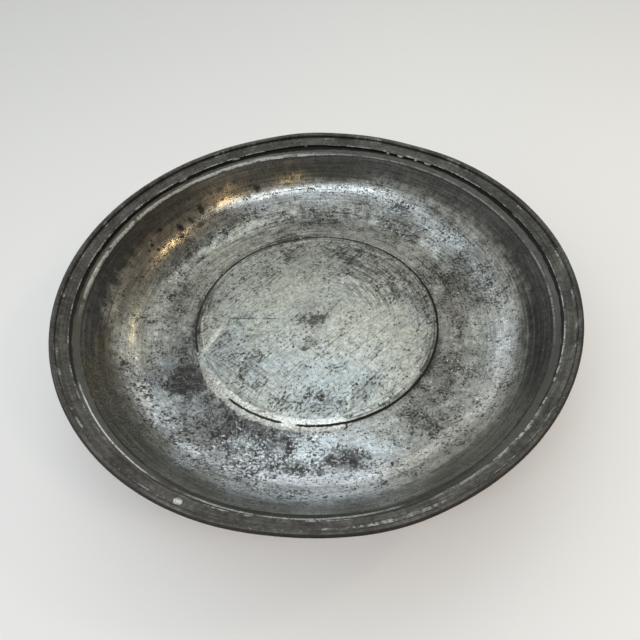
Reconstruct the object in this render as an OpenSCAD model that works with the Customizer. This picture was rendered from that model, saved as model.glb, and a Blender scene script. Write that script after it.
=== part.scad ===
// Tinned copper serving dish: a raised bowl with a centre plate lapped into its
// floor, a separate rim band rolled over a wire, and a soldered foot ring.
// Millimetres, +Z up. The origin is on the table, on the axis of the dish,
// and -Y is the side nearest the person it is set before.

/* [Overall] */
// Diameter over the rolled edge
rim_d = 400; // [370:1:490]
// Height of the floor's upper face above the table
floor_h = 24; // [18:0.5:32]
// Depth from the mouth of the bowl down to the floor
bowl_depth = 42.4; // [34:0.2:52]

/* [Bowl] */
// Thickness of the bowl's sheet
bowl_t = 1.5; // [1:0.1:2]
// Slope of the straight upper wall
wall_angle = 55; // [48:1:62]
// Inside radius of the bend from floor to wall
wall_bend_r = 54; // [36:1:66]
// Slope of the flange that carries the rim band
flange_angle = 38; // [34:1:44]
// Radius under the bend from wall to flange
mouth_bend_r = 2; // [1:0.5:4]
// Radius inside the two bends that set the lap down
joggle_bend_r = 0.3; // [0.2:0.1:0.5]

/* [Centre plate] */
// Diameter of the plate
plate_d = 208; // [160:1:230]
// Thickness of the plate
plate_t = 1.5; // [1.3:0.1:2.2]
// Width of the worn upper edge of the plate
plate_edge = 0.4; // [0.2:0.1:0.6]
// Open seam around the plate, at the bottom of the lap
seam_gap = 0.4; // [0.3:0.1:1]
// Width of the lap under the plate
lap_w = 10; // [8:0.5:16]
// Diameter of the compass mark at the centre
mark_d = 3; // [2:0.5:5]
// Depth of the compass mark
mark_depth = 0.6; // [0.3:0.1:0.9]

/* [Rim band] */
// Width from the inner edge to the outside of the rolled edge
band_w = 12; // [10:0.5:18]
// Width of flange left showing inside the band
step_w = 4.7; // [3:0.1:8]
// Thickness of the band's sheet
band_t = 1; // [0.7:0.1:1.3]
// Slope of the band
band_angle = 27; // [18:1:31]
// Diameter of the wire inside the rolled edge
wire_d = 2; // [1.6:0.1:3]
// How far the edge is rolled round the wire
roll_angle = 278; // [240:1:286]
// Distance from the outside of the rolled edge to the end of the flange
flange_setback = 3.5; // [2.5:0.1:5]
// Depth of the open crevice under the band's inner edge
crevice_depth = 3.5; // [2:0.1:4.5]

/* [Solder] */
// Thickness of a soldered joint
solder_t = 0.3; // [0.2:0.05:0.5]
// Width of the repair run along the seam
repair_w = 12; // [7:0.5:16]
// Height of the repair run above the floor
repair_h = 0.6; // [0.3:0.1:1]
// Depth to which the repair run fills the seam
repair_key = 0.9; // [0.6:0.1:1.2]
// Bearing at which the repair run starts, counted from +X
repair_start = -166; // [-180:1:-120]
// Angle that the repair run covers
repair_sweep = 95; // [60:1:150]
// Width of the cracks where the repair has opened again
crack_w = 1.6; // [1:0.1:3]

/* [Foot ring] */
// Thickness of the foot's sheet
foot_t = 1.5; // [1:0.1:2]
// Width of the flange that is soldered under the lap
foot_flange_w = 7; // [5:0.5:7.5]
// Slope of the foot's wall
foot_angle = 75; // [60:1:85]
// Radius inside the upper bend
foot_top_bend_r = 2; // [1:0.5:3]
// Radius inside the lower bend
foot_base_bend_r = 4; // [2:0.5:6]
// Width of the flat that stands on the table
foot_base_w = 6; // [4:0.5:12]
// Height of the solder fillet outside the foot
foot_fillet_h = 1.2; // [0.8:0.1:1.6]

/* [Hidden] */
$fn = 180;

// Largest angle that one chord of a bend covers
bend_step = 4;
// Clearance between the wire and the edge rolled round it
wire_fit = 0.05;
// Angle of the two bends that set the lap down
joggle_angle = 60;
// Cracks in the repair run, as shares of its sweep; the last runs out at its end
cracks = [[0.41, 0.68], [0.75, 1.02]];

tin_grey = [0.56, 0.57, 0.55];
rim_grey = [0.36, 0.37, 0.35];
plate_grey = [0.64, 0.66, 0.63];
solder_grey = [0.78, 0.80, 0.80];
iron_grey = [0.30, 0.29, 0.28];
copper_brown = [0.45, 0.29, 0.20];

// The lap is set down so that the plate lies level with the floor
plate_r = plate_d / 2;
lap_z = floor_h - plate_t - solder_t;
lap_in_r = plate_r - lap_w;
joggle_r = plate_r + seam_gap;
joggle_bends = 2 * joggle_bend_r + bowl_t;
joggle_straight = (plate_t + solder_t - joggle_bends * (1 - cos(joggle_angle))) / sin(joggle_angle);
shoulder_r = joggle_r + joggle_bends * sin(joggle_angle) + joggle_straight * cos(joggle_angle);

// Upper face of the bowl, worked out from the mouth, where wall and flange meet
rim_r = rim_d / 2;
band_in_r = rim_r - band_w;
mouth_r = band_in_r - step_w;
mouth_z = floor_h + bowl_depth;
wall_rise = bowl_depth - wall_bend_r * (1 - cos(wall_angle));
floor_r = mouth_r - wall_rise / tan(wall_angle) - wall_bend_r * sin(wall_angle);
mouth_angle = wall_angle - flange_angle;
mouth_tangent = (mouth_bend_r + bowl_t) * tan(mouth_angle / 2);
wall_length = wall_rise / sin(wall_angle) - mouth_tangent;
flange_r = rim_r - flange_setback;
flange_length = (flange_r - mouth_r) / cos(flange_angle) - mouth_tangent;

// The roll round the wire is tangent to the band and reaches the overall diameter
roll_in_r = wire_d / 2 + wire_fit;
roll_r = roll_in_r + band_t;
roll_centre_r = rim_r - roll_r;
roll_centre_z = band_under(roll_centre_r) + roll_r / cos(band_angle);
band_nose_r = band_in_r + band_t / 2;
band_length = (roll_centre_r + roll_in_r * sin(band_angle) - band_nose_r) / cos(band_angle);

// The foot's flange lies under the lap
foot_top_z = lap_z - bowl_t - solder_t;
foot_bends = foot_top_bend_r + foot_t + foot_base_bend_r;
foot_wall = (foot_top_z - foot_t - foot_bends * (1 - cos(foot_angle))) / sin(foot_angle);

// Height of the flange's upper face at a radius
function flange_top(r) = mouth_z + (r - mouth_r) * tan(flange_angle);

// Height of the band's underside at a radius: it comes down to the flange's end
function band_under(r) = flange_top(flange_r) + solder_t + (r - flange_r) * tan(band_angle);

// Stations along the upper face of a strip of sheet, each [radius, height, heading].
// A step is a straight length, the angle the strip then turns, upwards if positive,
// and the radius on the inside of that bend.
function stations(at, steps, t, i = 0) =
    i == len(steps) ? [at] :
    let (
        heading = at[2],
        turn = steps[i][1],
        face_r = turn > 0 ? steps[i][2] : -steps[i][2] - t,
        bend_from = at + steps[i][0] * [cos(heading), sin(heading), 0],
        chords = ceil(abs(turn) / bend_step),
        bend = [
            for (k = [0 : 1 : chords])
                let (to = heading + turn * k / chords)
                    [bend_from[0] + face_r * (sin(to) - sin(heading)),
                     bend_from[1] + face_r * (cos(heading) - cos(to)),
                     to]
        ],
        inner_stations = [for (k = [0 : 1 : chords - 1]) bend[k]],
        bend_to = chords > 0 ? bend[chords] : bend_from
    )
    concat([at], inner_stations, stations(bend_to, steps, t, i + 1));

// Point of the sheet's section at a depth below the upper face
function below(station, depth) =
    [station[0] + depth * sin(station[2]), station[1] - depth * cos(station[2])];

// Section of a strip of sheet; its first edge can be rounded
module sheet(t, at, steps, round_edge = false) {
    face = stations(at, steps, t);
    last = len(face) - 1;
    edge_chords = round_edge ? 8 : 0;
    edge_centre = below(at, t / 2);
    upper = [for (s = face) below(s, 0)];
    lower = [for (i = [last : -1 : 0]) below(face[i], t)];
    edge = [
        for (k = [1 : 1 : edge_chords - 1])
            let (a = at[2] - 90 - 180 * k / edge_chords)
                edge_centre + t / 2 * [cos(a), sin(a)]
    ];
    polygon(concat(upper, lower, edge));
}

module bowl_profile() {
    sheet(bowl_t, [lap_in_r, lap_z, 0], [
        [joggle_r - lap_in_r, joggle_angle, joggle_bend_r],
        [joggle_straight, -joggle_angle, joggle_bend_r],
        [floor_r - shoulder_r, wall_angle, wall_bend_r],
        [wall_length, -mouth_angle, mouth_bend_r],
        [flange_length, 0, 0]
    ]);
}

module foot_profile() {
    sheet(foot_t, [lap_in_r, foot_top_z, 0], [
        [foot_flange_w, -foot_angle, foot_top_bend_r],
        [foot_wall, foot_angle, foot_base_bend_r],
        [foot_base_w, 0, 0]
    ]);
}

// Raised from one sheet: lap, floor, wall and flange
module bowl() {
    color(tin_grey)
        rotate_extrude()
            bowl_profile();
}

// Disc that closes the floor, with its worn edge and compass mark
module centre_plate() {
    color(plate_grey)
        rotate_extrude()
            polygon([
                [0, floor_h - plate_t],
                [plate_r, floor_h - plate_t],
                [plate_r, floor_h - plate_edge],
                [plate_r - plate_edge, floor_h],
                [mark_d / 2, floor_h],
                [0, floor_h - mark_depth]
            ]);
}

// Layer of solder in the lap under the plate
module seam_solder() {
    color(solder_grey)
        rotate_extrude()
            translate([lap_in_r, lap_z])
                square([lap_w, solder_t]);
}

// Low rounded run of solder with a flat underside, keyed into the seam
module repair_profile() {
    crown_r = (pow(repair_w / 2, 2) + pow(repair_h, 2)) / (2 * repair_h);
    seam_r = (plate_r + shoulder_r) / 2;
    intersection() {
        translate([seam_r, floor_h + repair_h - crown_r])
            circle(crown_r);
        translate([seam_r - repair_w, floor_h])
            square([2 * repair_w, 2 * repair_h]);
    }
    translate([plate_r, floor_h - repair_key])
        square([seam_gap, repair_key + repair_h / 2]);
}

// Later solder run over part of the seam, cracked open again in two places
module seam_repair() {
    color(solder_grey)
        rotate(repair_start)
            difference() {
                rotate_extrude(angle = repair_sweep)
                    repair_profile();
                for (crack = cracks)
                    rotate(crack[0] * repair_sweep)
                        rotate_extrude(angle = (crack[1] - crack[0]) * repair_sweep)
                            translate([plate_r - plate_edge, lap_z])
                                square([crack_w, floor_h - lap_z + 2 * repair_h]);
            }
}

// Sloping ledge with a rounded inner edge, its outer edge rolled up over the wire
module rim_band() {
    nose_z = band_under(band_nose_r) + band_t / cos(band_angle);
    color(rim_grey)
        rotate_extrude()
            sheet(band_t, [band_nose_r, nose_z, band_angle], [
                [band_length, roll_angle, roll_in_r]
            ], round_edge = true);
}

// Wire that stiffens the rolled edge
module rim_wire() {
    color(iron_grey)
        rotate_extrude()
            translate([roll_centre_r, roll_centre_z])
                circle(wire_d / 2);
}

// Solder in the wedge between flange and band, behind the open crevice
module rim_solder() {
    inner_r = band_in_r + crevice_depth;
    color(solder_grey)
        rotate_extrude()
            polygon([
                [inner_r, flange_top(inner_r)],
                [flange_r, flange_top(flange_r)],
                [flange_r, band_under(flange_r)],
                [inner_r, band_under(inner_r)]
            ]);
}

// Flared ring with a flange above and a flat base
module foot_ring() {
    color(copper_brown)
        rotate_extrude()
            foot_profile();
}

// Solder between foot and lap, run out into a fillet on the outside
module foot_solder() {
    flange_end_r = lap_in_r + foot_flange_w;
    joint_top_z = foot_top_z + solder_t;
    fillet_r = flange_end_r + foot_top_bend_r;
    color(solder_grey)
        rotate_extrude()
            difference() {
                polygon([
                    [lap_in_r, foot_top_z],
                    [flange_end_r, foot_top_z],
                    [fillet_r, joint_top_z - foot_fillet_h],
                    [fillet_r + foot_fillet_h / 2, joint_top_z],
                    [lap_in_r, joint_top_z]
                ]);
                foot_profile();
            }
}

bowl();
centre_plate();
seam_solder();
seam_repair();
rim_band();
rim_wire();
rim_solder();
foot_ring();
foot_solder();
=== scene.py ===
import math
from types import SimpleNamespace

import bpy
from mathutils import Matrix, Vector, noise


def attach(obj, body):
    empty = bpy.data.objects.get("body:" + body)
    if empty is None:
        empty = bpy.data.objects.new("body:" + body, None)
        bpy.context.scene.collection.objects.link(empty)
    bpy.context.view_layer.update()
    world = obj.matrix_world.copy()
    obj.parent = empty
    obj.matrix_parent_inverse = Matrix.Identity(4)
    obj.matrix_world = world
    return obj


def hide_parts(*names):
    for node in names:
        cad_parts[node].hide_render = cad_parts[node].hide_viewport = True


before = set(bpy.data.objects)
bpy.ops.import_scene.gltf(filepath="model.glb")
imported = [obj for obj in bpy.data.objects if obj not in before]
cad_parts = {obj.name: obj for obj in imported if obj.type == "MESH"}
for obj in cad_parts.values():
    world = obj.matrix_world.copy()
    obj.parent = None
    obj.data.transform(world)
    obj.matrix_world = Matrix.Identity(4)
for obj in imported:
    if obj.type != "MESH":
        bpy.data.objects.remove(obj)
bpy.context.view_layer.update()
mm = 0.001
print("frame loaded:", ", ".join(sorted(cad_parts)))


# shaping helpers: everything is worked out in mm along a section, then spun round the dish's axis

def sinDeg(a):
    return math.sin(math.radians(a))


def cosDeg(a):
    return math.cos(math.radians(a))


def ease(x, low, high):
    t = min(1.0, max(0.0, (x - low) / (high - low)))
    return t * t * (3 - 2 * t)


def angleGap(a, b):
    return (a - b + 180) % 360 - 180


def heightOn(face, r):  # a sloping face in section: radius, height, degrees
    fromR, fromZ, slope = face
    return fromZ + (r - fromR) * math.tan(math.radians(slope))


def bumps(bearing, places):  # smooth humps round the dish: bearing, half width, height
    return sum(rise * math.exp(-(angleGap(bearing, at) / half) ** 2) for at, half, rise in places)


def ripple(x, y=0.0, z=0.0):
    return noise.noise(Vector((x, y, z)))


def walkStrip(start, moves, thick, stride):  # upper face of a bent strip: radius, height, heading
    r, z, heading = start
    path = [(r, z, heading)]
    for run, turn, inside, bendStep in moves:
        steps = max(1, math.ceil(run / stride))
        for k in range(1, steps + 1):
            along = run * k / steps
            path.append((r + along * cosDeg(heading), z + along * sinDeg(heading), heading))
        r, z, heading = path[-1]
        if turn:
            faceR = inside if turn > 0 else -inside - thick
            steps = math.ceil(abs(turn) / bendStep)
            bend = []
            for k in range(1, steps + 1):
                to = heading + turn * k / steps
                bend.append((r + faceR * (sinDeg(to) - sinDeg(heading)),
                             z + faceR * (cosDeg(heading) - cosDeg(to)), to))
            path += bend
            r, z, heading = bend[-1]
    return path


def stripSection(path, thick, under, edge=5):  # closed loop: radius, height, normal, finish
    half = thick / 2

    def at(station, depth, finish):
        r, z, h = station
        return (r + depth * sinDeg(h), z - depth * cosDeg(h), -sinDeg(h), cosDeg(h), finish)

    def slid(station, along):
        r, z, h = station
        return (r + along * cosDeg(h), z + along * sinDeg(h), h)

    inner, outer = slid(path[0], half), slid(path[-1], -half)
    stations = [inner] + path[2:-2] + [outer]
    loop = [at(s, 0, 0) for s in stations]
    for station, turn in ((outer, 1), (inner, -1)):  # both edges are rounded off
        r, z, *_ = at(station, half, 0)
        if turn < 0:
            loop += [at(s, thick, under(s)) for s in reversed(stations)]
        for k in range(1, edge):
            a = station[2] + turn * 90 - 180 * k / edge
            loop.append((r + half * cosDeg(a), z + half * sinDeg(a), cosDeg(a), sinDeg(a), under(station)))
    return loop


def spin(name, loop, around, reshape, finishes, sharp=50):
    n = len(loop)
    verts, faces, marks = [], [], []
    for i in range(around):
        bearing = 360 * i / around
        c, s = cosDeg(bearing), sinDeg(bearing)
        for r, z, nr, nz, _ in loop:
            r, z = reshape(bearing, r, z, nr, nz)
            verts.append((r * c * mm, r * s * mm, z * mm))
    for i in range(around):
        j = (i + 1) % around
        for k in range(n):
            m = (k + 1) % n
            faces.append((i * n + k, j * n + k, j * n + m, i * n + m))
            marks.append(loop[k][4])
    return makePiece(name, verts, faces, marks, finishes, sharp)


def makePiece(name, verts, faces, marks, finishes, sharp=50):
    mesh = bpy.data.meshes.new(name)
    mesh.from_pydata(verts, [], faces)
    for finish in finishes:
        mesh.materials.append(finish)
    mesh.polygons.foreach_set("material_index", marks)
    mesh.polygons.foreach_set("use_smooth", [True] * len(faces))
    mesh.set_sharp_from_angle(angle=math.radians(sharp))
    mesh.validate()
    mesh.update()
    piece = bpy.data.objects.new(name, mesh)
    bpy.context.scene.collection.objects.link(piece)
    return piece


def seat(piece, node):  # the piece takes the place of its CAD node and rides on the one body
    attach(piece, "root")
    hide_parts(node)
    return piece


# node helpers: a value is a plain number or colour, or the socket that it comes from

def plug(tree, socket, value):
    if isinstance(value, bpy.types.NodeSocket):
        tree.links.new(value, socket)
    else:
        socket.default_value = value


def put(tree, kind, values=None, **settings):
    node = tree.nodes.new("ShaderNode" + kind)
    for key, value in settings.items():
        setattr(node, key, value)
    for key, value in (values or {}).items():
        plug(tree, node.inputs[key], value)
    return node


def calc(tree, operation, a, b=0.0, c=0.0, clamp=False):
    return put(tree, "Math", {0: a, 1: b, 2: c}, operation=operation, use_clamp=clamp).outputs[0]


def chain(tree, operation, values):
    result = values[0]
    for value in values[1:]:
        result = calc(tree, operation, result, value)
    return result


def times(tree, *values):
    return chain(tree, "MULTIPLY", values)


def total(tree, *values):
    return chain(tree, "ADD", values)


def most(tree, *values):
    return chain(tree, "MAXIMUM", values)


def less(tree, a, b):
    return calc(tree, "SUBTRACT", a, b)


def over(tree, a, b):
    return calc(tree, "DIVIDE", a, b)


def ramp(tree, value, slope, start):
    return calc(tree, "MULTIPLY_ADD", value, slope, start)


def swing(tree, value, reach):  # noise, which lies about a half, made into a push to either side
    return times(tree, less(tree, value, 0.5), reach)


def addUp(tree, *terms):  # weighted sum of values
    return total(tree, *[times(tree, value, weight) for value, weight in terms])


def remap(tree, value, low, high, toLow=0.0, toHigh=1.0):
    limits = {"Value": value, "From Min": low, "From Max": high, "To Min": toLow, "To Max": toHigh}
    return put(tree, "MapRange", limits, interpolation_type="SMOOTHSTEP").outputs["Result"]


def blend(tree, amount, a, b):
    node = put(tree, "Mix", data_type="RGBA")
    for place, value in ((0, amount), (6, a), (7, b)):
        plug(tree, node.inputs[place], (*value, 1.0) if isinstance(value, tuple) else value)
    return node.outputs[2]


def stain(tree, colour, mask, strength, tint):
    return blend(tree, times(tree, mask, strength), colour, tint)


def scaled(tree, what, amount):  # a place or a colour
    return put(tree, "VectorMath", {0: what, "Scale": amount}, operation="SCALE").outputs[0]


def joined(tree, operation, a, b):  # two places
    return put(tree, "VectorMath", {0: a, 1: b}, operation=operation).outputs[0]


def parts(tree, place):
    return put(tree, "SeparateXYZ", {0: place}).outputs


def vector(tree, x=0.0, y=0.0, z=0.0):
    return put(tree, "CombineXYZ", {"X": x, "Y": y, "Z": z}).outputs[0]


def noiseAt(tree, where, scale, detail, roughness=0.5):
    values = {"Vector": where, "Scale": scale, "Detail": detail, "Roughness": roughness}
    return put(tree, "TexNoise", values).outputs


def turnBack(tree, where, degrees, sway=0.0):  # lays a slanting mark along X
    angle = ramp(tree, degrees, -math.pi / 180, sway)
    return put(tree, "VectorRotate", {"Vector": where, "Axis": (0.0, 0.0, 1.0), "Angle": angle}).outputs[0]


def placeInMm(tree, shift=None):  # where a point lies in the part's frame, in mm
    where = scaled(tree, put(tree, "TexCoord").outputs["Object"], 1 / mm)
    if shift is not None:
        where = joined(tree, "ADD", where, vector(tree, shift, times(tree, shift, -1.7), shift))
    return where


def radiusOf(tree, where):
    flat = joined(tree, "MULTIPLY", where, (1.0, 1.0, 0.0))
    return put(tree, "VectorMath", {0: flat}, operation="LENGTH").outputs["Value"], flat


def makeGroup(name, output, **inputs):
    tree = bpy.data.node_groups.new(name, "ShaderNodeTree")
    for label, value in inputs.items():
        socket = tree.interface.new_socket(name=label.title(), in_out="INPUT", socket_type="NodeSocketFloat")
        socket.default_value = value
    tree.interface.new_socket(name=output, in_out="OUTPUT", socket_type="NodeSocketFloat")
    return tree, tree.nodes.new("NodeGroupInput").outputs


def closeGroup(tree, value):
    tree.links.new(value, tree.nodes.new("NodeGroupOutput").inputs[0])
    return tree


def use(tree, group, **values):
    labelled = {key.title(): value for key, value in values.items()}
    return put(tree, "Group", labelled, node_tree=group).outputs[0]


# shared effects

def buildClouds():  # soft patina clouds
    tree, given = makeGroup("patinaClouds", "Clouds", size=30.0, detail=4.0, grit=0.55, shift=0.0)
    where = placeInMm(tree, given["Shift"])
    cloud = noiseAt(tree, where, over(tree, 1.0, given["Size"]), given["Detail"], given["Grit"])
    return closeGroup(tree, cloud[0])


def buildLines():  # lines left by turning and wiping round the axis
    tree, given = makeGroup("turningLines", "Lines", spacing=1.2, length=60.0, shift=0.0)
    where = placeInMm(tree)
    radius, flat = radiusOf(tree, where)
    turn = put(tree, "VectorMath", {0: flat}, operation="NORMALIZE").outputs[0]
    turn = scaled(tree, turn, over(tree, 170.0, given["Length"]))  # lengths hold at a radius of 170
    across = over(tree, total(tree, radius, parts(tree, where)["Z"]), given["Spacing"])
    where = joined(tree, "ADD", turn, vector(tree, z=total(tree, across, given["Shift"])))
    return closeGroup(tree, noiseAt(tree, where, 1.0, 3.0, 0.6)[0])


def buildPits():  # round black pits of mixed size, ragged at the edge
    tree, given = makeGroup("blackPits", "Pits", spacing=8.0, share=0.4, size=0.16, shift=0.0)
    where = placeInMm(tree, given["Shift"])
    fray = joined(tree, "SUBTRACT", noiseAt(tree, where, 0.9, 3.0)["Color"], (0.5, 0.5, 0.5))
    where = joined(tree, "ADD", where, scaled(tree, fray, 1.6))
    cell = put(tree, "TexVoronoi", {"Vector": where, "Scale": over(tree, 1.0, given["Spacing"])}).outputs
    dice = put(tree, "SeparateColor", {0: cell["Color"]}).outputs
    wide = times(tree, given["Size"], remap(tree, dice["Green"], 0.0, 1.0, 0.35, 1.3))
    inside = remap(tree, cell["Distance"], wide, times(tree, wide, 0.45))
    return closeGroup(tree, times(tree, inside, calc(tree, "LESS_THAN", dice["Red"], given["Share"])))


def buildSpecks():  # salt-and-pepper tarnish: sharp flecks in clumps, closer together where Density is higher
    tree, given = makeGroup("tarnishSpecks", "Specks", grain=2.4, density=0.4, stretch=1.0, turn=0.0,
                            shift=0.0)
    where = turnBack(tree, placeInMm(tree, given["Shift"]), given["Turn"])
    where = joined(tree, "MULTIPLY", where, vector(tree, over(tree, 1.0, given["Stretch"]), 1.0, 1.0))
    fine = over(tree, 1.0, given["Grain"])
    clump = noiseAt(tree, where, times(tree, fine, 0.14), 4.0, 0.65)[0]
    chance = total(tree, swing(tree, clump, 1.9), given["Density"])
    limit = ramp(tree, chance, -0.24, 0.69)
    fleck = noiseAt(tree, where, fine, 3.0, 0.66)[0]
    return closeGroup(tree, remap(tree, fleck, limit, total(tree, limit, 0.035)))


def buildScratches():  # straight wiping scratches along one direction
    tree, given = makeGroup("wipingScratches", "Scratches", angle=50.0, length=40.0, width=0.8,
                            share=0.4, shift=0.0)
    where = placeInMm(tree, given["Shift"])
    bow = swing(tree, noiseAt(tree, where, 0.012, 1.0)[0], 0.25)
    where = turnBack(tree, where, given["Angle"], bow)
    scale = vector(tree, over(tree, 1.0, given["Length"]), over(tree, 1.0, given["Width"]), 0.02)
    mark = noiseAt(tree, joined(tree, "MULTIPLY", where, scale), 1.0, 2.0, 0.6)[0]
    limit = remap(tree, given["Share"], 0.0, 1.0, 0.76, 0.4)
    return closeGroup(tree, remap(tree, mark, limit, total(tree, limit, 0.1)))


def buildPatch():  # one patch at a place on the dish, its edge broken up by Rag
    tree, given = makeGroup("raggedPatch", "Patch", x=0.0, y=0.0, size=20.0, stretch=1.0, turn=0.0,
                            soft=0.6, rag=0.0)
    away = joined(tree, "SUBTRACT", placeInMm(tree), vector(tree, given["X"], given["Y"]))
    away = turnBack(tree, away, given["Turn"])
    away = joined(tree, "MULTIPLY", away, vector(tree, over(tree, 1.0, given["Stretch"]), 1.0))
    far = put(tree, "VectorMath", {0: away}, operation="LENGTH").outputs["Value"]
    far = total(tree, over(tree, far, given["Size"]), given["Rag"])
    return closeGroup(tree, remap(tree, far, total(tree, 1.0, given["Soft"]), less(tree, 1.0, given["Soft"])))


def buildRing():  # a worn or dirty line round the dish at one radius, broken up along its length
    tree, given = makeGroup("ringLine", "Ring", radius=188.0, width=0.8, share=0.5, run=18.0, shift=0.0)
    where = placeInMm(tree)
    radius, flat = radiusOf(tree, where)
    radius = total(tree, radius, swing(tree, noiseAt(tree, where, 0.08, 3.0)[0], given["Width"]))
    off = calc(tree, "ABSOLUTE", less(tree, radius, given["Radius"]))
    mark = remap(tree, off, given["Width"], times(tree, given["Width"], 0.35))
    where = joined(tree, "ADD", flat, vector(tree, given["Shift"], given["Shift"], given["Shift"]))
    breaks = noiseAt(tree, where, over(tree, 1.0, given["Run"]), 5.0, 0.65)[0]
    limit = remap(tree, given["Share"], 0.0, 1.0, 0.72, 0.3)
    kept = remap(tree, breaks, limit, total(tree, limit, 0.1))
    chips = ramp(tree, given["Share"], 0.2, noiseAt(tree, where, 0.45, 4.0, 0.7)[0])
    return closeGroup(tree, times(tree, mark, kept, remap(tree, chips, 0.52, 0.64)))


clouds, lines, pits, specks = buildClouds(), buildLines(), buildPits(), buildSpecks()
scratches, patch, ring = buildScratches(), buildPatch(), buildRing()
print("shared effects built:", len(bpy.data.node_groups))


# finish helpers

def startMetal(name):
    finish = bpy.data.materials.new(name)
    finish.use_nodes = True
    tree = finish.node_tree
    return finish, tree, tree.nodes["Principled BSDF"]


def feed(tree, shader, colour, rough, metal):
    plug(tree, shader.inputs["Base Color"], colour)
    plug(tree, shader.inputs["Roughness"], rough)
    plug(tree, shader.inputs["Metallic"], metal)


def feedWorn(tree, shader, tin, colour, rough, dirt):  # dirt is less of a metal
    metal = remap(tree, dirt, 0.0, 1.0, *tin["metal"])
    feed(tree, shader, colour, total(tree, rough, tin["roughness"]), metal)


def bumpInto(tree, shader, height, strength, distance):
    bump = put(tree, "Bump", {"Height": height, "Strength": strength, "Distance": distance * mm})
    tree.links.new(bump.outputs[0], shader.inputs["Normal"])


def ragged(tree, shift, size=12.0, depth=2.2):
    return swing(tree, use(tree, clouds, size=size, detail=6.0, grit=0.65, shift=shift), depth)


def layPatches(tree, spots, rag, soft=0.7):  # spots: x, y, size, stretch, turn, weight
    laid = []
    for x, y, size, stretch, turn, weight in spots:
        one = use(tree, patch, x=x, y=y, size=size, stretch=stretch, turn=turn, soft=soft, rag=rag)
        laid.append((one, weight))
    return addUp(tree, *laid)


def mottled(tree, size, grit, shift, low, high):  # fine uneven tone that a colour is scaled by
    tone = use(tree, clouds, size=size, detail=6.0, grit=grit, shift=shift)
    return remap(tree, tone, 0.38, 0.62, low, high)


# dirt along the seam, with painted shade beside it: it lies wide only in places, and the repair has covered
# it at the front left
seamGrimeAndShade = {
    "width": 5.0, "coreStrength": 0.95,
    "wideAt": [(96, -43, 15, 1.8, 66, 1.0), (-36, 99, 14, 2.2, 20, 1.0), (-104, -14, 18, 1.6, 82, 1.0)],
    "mended": [(-54, -84, 34, 1.7, -32, 1.0)],
}


def layGrimeAndShade(tree, colour, rag, side):
    wide = use(tree, ring, radius=side["r"], width=seamGrimeAndShade["width"], share=side["share"], run=40.0,
               shift=12.0)
    places = layPatches(tree, seamGrimeAndShade["wideAt"], rag)
    wide = times(tree, wide, remap(tree, places, 0.0, 1.0, *side["strength"]))
    core = use(tree, ring, radius=side["coreR"], width=side["coreWidth"], share=1.0, run=60.0, shift=12.0)
    # the wide part is dirt and painted soft shade beside the sunken seam; the core is the dark joint
    grimeAndShade = most(tree, wide, times(tree, core, seamGrimeAndShade["coreStrength"]))
    grimeAndShade = times(tree, grimeAndShade, less(tree, 1.0, layPatches(tree, seamGrimeAndShade["mended"], rag, 0.3)))
    return blend(tree, grimeAndShade, colour, side["tint"])


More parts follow.
